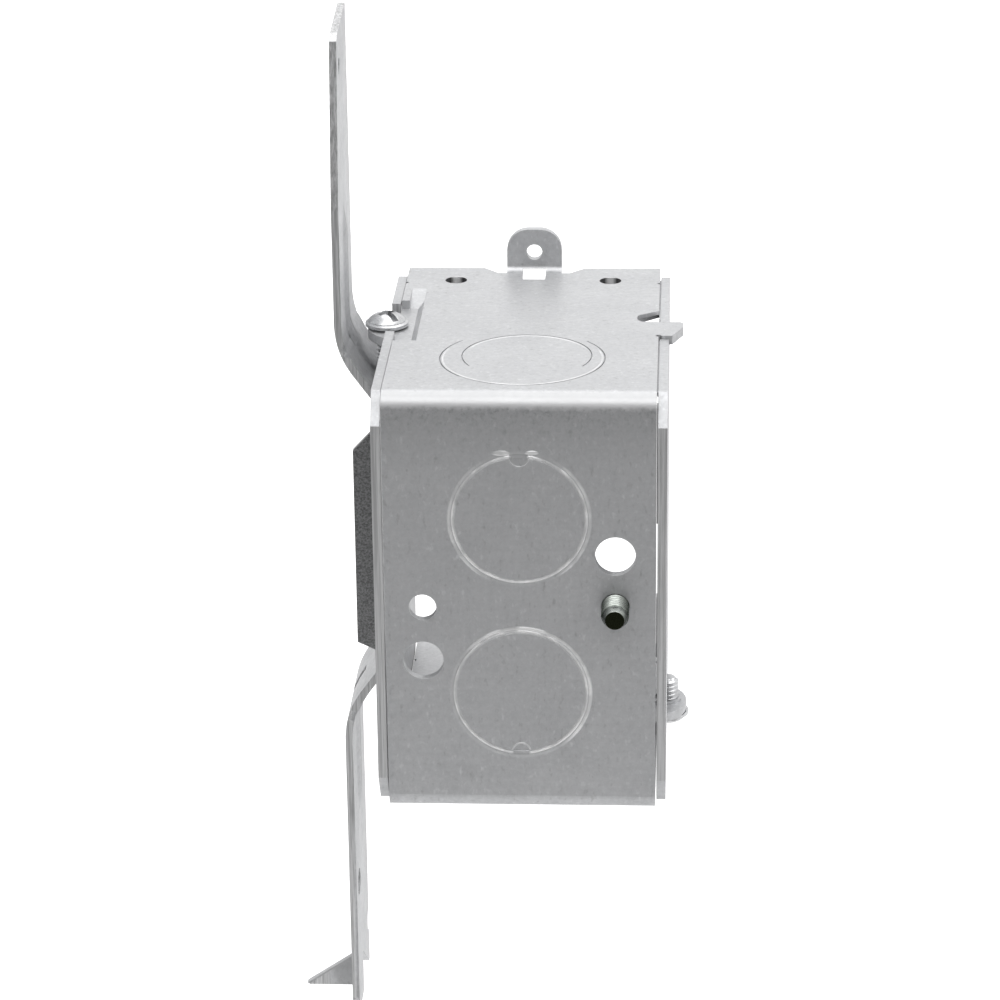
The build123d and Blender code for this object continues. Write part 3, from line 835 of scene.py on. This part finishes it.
# Ground screw: hexagonal washer head inside the box, threaded point behind it
groundScrew = {
    "place": (-16.15 * mm, 68.25 * mm, 0.1 * mm),
    "washer": ((0, 5.1), (0.55, 5.1), (0.8, 4.8)),
    "hexRadius": 4.56,
    "hexFoot": 0.4,
    "hexHeight": 3.0,
    "hexBevel": 0.35,
    "slot": (12.0, 1.2, 1.4),
    "shank": {"core": 1.9 * mm, "crest": 2.36 * mm, "pitch": 0.79 * mm, "turns": 7, "steps": 40},
    "reach": 7.75,
    "threadFoot": 1.35,
    "point": ((0, 1.42), (0.04, 1.6), (0.14, 1.66), (0.9, 1.95), (1.7, 2.2)),
    "pointTop": (0.1, 1.9),
}


def makeGroundScrew(name, g):
    washer = turnedPiece("washer", [(z * mm, r * mm) for z, r in g["washer"]], sides=64)
    top, radius, bevel = g["hexHeight"], g["hexRadius"], g["hexBevel"]
    rings = ((g["hexFoot"], radius), (top - bevel, radius), (top, radius - bevel))
    hexagon = turnedPiece("hexagon", [(z * mm, r * mm) for z, r in rings], sides=6)
    deselectAll()
    bpy.ops.mesh.primitive_cube_add(size=1, location=(0, 0, g["hexHeight"] * mm))
    cutter = bpy.context.object
    cutter.scale = (g["slot"][0] * mm, g["slot"][1] * mm, 2 * g["slot"][2] * mm)
    bpy.ops.object.transform_apply(location=True, rotation=True, scale=True)
    cutWith(hexagon, cutter)
    shank = threadedShank("shank", g["shank"])
    placePiece(shank, (0, 0, -(g["reach"] - g["threadFoot"]) * mm), (0, 0, 0))
    rings = [(z - g["reach"], r) for z, r in g["point"]] + [g["pointTop"]]
    point = turnedPiece("point", [(z * mm, r * mm) for z, r in rings], sides=40)
    screw = joinPieces(name, [washer, hexagon, shank, point])
    placePiece(screw, g["place"], (math.radians(90), 0, 0))
    return screw


groundPiece = makeGroundScrew("groundScrew", groundScrew)
shadeAndDress(groundPiece, groundGreen, "ground", "ground_screw")
print("ground screw made")


# Floor, well below the box, which hangs by its strap
floor = {"drop": 0.15, "half": 6.0, "color": (0.76, 0.76, 0.76), "glow": 0.5, "mirrored": 0.1}


def addFloor(f):
    deselectAll()
    bpy.ops.mesh.primitive_plane_add(size=2 * f["half"], location=(0, 0, cadBox[0][2] - f["drop"]))
    plane = bpy.context.object
    plane.name = "floor"
    bpy.ops.object.transform_apply(location=True)
    mat, tree, shader = newMaterial("paleFloor")
    shader.inputs["Base Color"].default_value = (*f["color"], 1)
    shader.inputs["Roughness"].default_value = 0.9
    path = addNode(tree, "ShaderNodeLightPath")
    shader.inputs["Emission Color"].default_value = (1, 1, 1, 1)
    straight = mathNode(tree, "MAXIMUM", path.outputs["Is Camera Ray"], path.outputs["Is Transmission Ray"])
    straight = mathNode(tree, "MULTIPLY", straight, f["glow"])
    mirrored = mathNode(tree, "MULTIPLY", path.outputs["Is Glossy Ray"], f["mirrored"])
    tree.links.new(mathNode(tree, "MAXIMUM", straight, mirrored), shader.inputs["Emission Strength"])
    plane.data.materials.append(mat)


addFloor(floor)


# A grey card behind and under the camera, which the back wall reflects; it isn't seen itself
card = {"near": 0.42, "far": 1.5, "top": 0.8, "half": 2.2, "color": (0.30, 0.30, 0.30), "lift": 0.004}


def addCard(c):
    low = cadBox[0][2] - floor["drop"] + c["lift"]
    deselectAll()
    bpy.ops.mesh.primitive_plane_add(size=1, location=(0, (c["near"] + c["far"]) / 2, low))
    sheet = bpy.context.object
    sheet.name = "greyCard"
    sheet.scale = (2 * c["half"], c["far"] - c["near"], 1)
    bpy.ops.object.transform_apply(location=True, rotation=True, scale=True)
    editAll(sheet)
    bpy.ops.mesh.select_mode(type="EDGE")
    bpy.ops.mesh.select_all(action="DESELECT")
    bpy.ops.object.mode_set(mode="OBJECT")
    for edge in sheet.data.edges:
        edge.select = all(sheet.data.vertices[v].co.y > c["far"] - 1 * mm for v in edge.vertices)
    bpy.ops.object.mode_set(mode="EDIT")
    bpy.ops.mesh.extrude_region_move(TRANSFORM_OT_translate={"value": (0, 0, c["top"] - low)})
    bpy.ops.object.mode_set(mode="OBJECT")
    sheet.visible_camera = False
    sheet.visible_shadow = False
    mat, tree, shader = newMaterial("greyCard")
    shader.inputs["Base Color"].default_value = (*c["color"], 1)
    shader.inputs["Roughness"].default_value = 0.9
    sheet.data.materials.append(mat)


addCard(card)


# Light: a white studio, one wide lamp overhead, one at the right and one in front
studio = {"diffuse": 0.45, "seen": 1.0}
lamps = {
    "overheadLamp": {"place": (0.0, 0.3, 1.5), "aim": (0, 0.3, 0), "size": (1.9, 3.1), "power": 31},
    "rightLamp": {"place": (-1.3, 0.1, 0.5), "aim": (0, 0.03, 0), "size": (0.7, 0.7), "power": 4},
    "frontLamp": {"place": (0.0, -1.4, 0.5), "aim": (0, 0.03, -0.02), "size": (1.0, 1.0), "power": 8},
}
unmirrored = ("frontLamp",)  # would clip the top wall to white


def addStudio(s, lampSet):
    world = bpy.data.worlds.new("studio")
    bpy.context.scene.world = world
    world.use_nodes = True
    tree = world.node_tree
    back = tree.nodes["Background"]
    back.inputs["Color"].default_value = (1, 1, 1, 1)
    path = addNode(tree, "ShaderNodeLightPath")
    seen = mathNode(tree, "MAXIMUM", path.outputs["Is Camera Ray"], path.outputs["Is Glossy Ray"])
    seen = mathNode(tree, "MAXIMUM", seen, path.outputs["Is Transmission Ray"])
    tree.links.new(mapRange(tree, seen, 0, 1, s["diffuse"], s["seen"]), back.inputs["Strength"])
    for name, lamp in lampSet.items():
        place, aim = Vector(lamp["place"]), Vector(lamp["aim"])
        turn = (aim - place).to_track_quat("-Z", "Y").to_euler()
        bpy.ops.object.light_add(type="AREA", location=place, rotation=turn)
        light = bpy.context.object
        light.name = name
        light.data.shape = "RECTANGLE"
        light.data.size, light.data.size_y = lamp["size"]
        light.data.energy = lamp["power"]
        light.visible_glossy = name not in unmirrored


addStudio(studio, lamps)
bpy.context.scene.view_settings.view_transform = "Standard"
print("floor and light set")
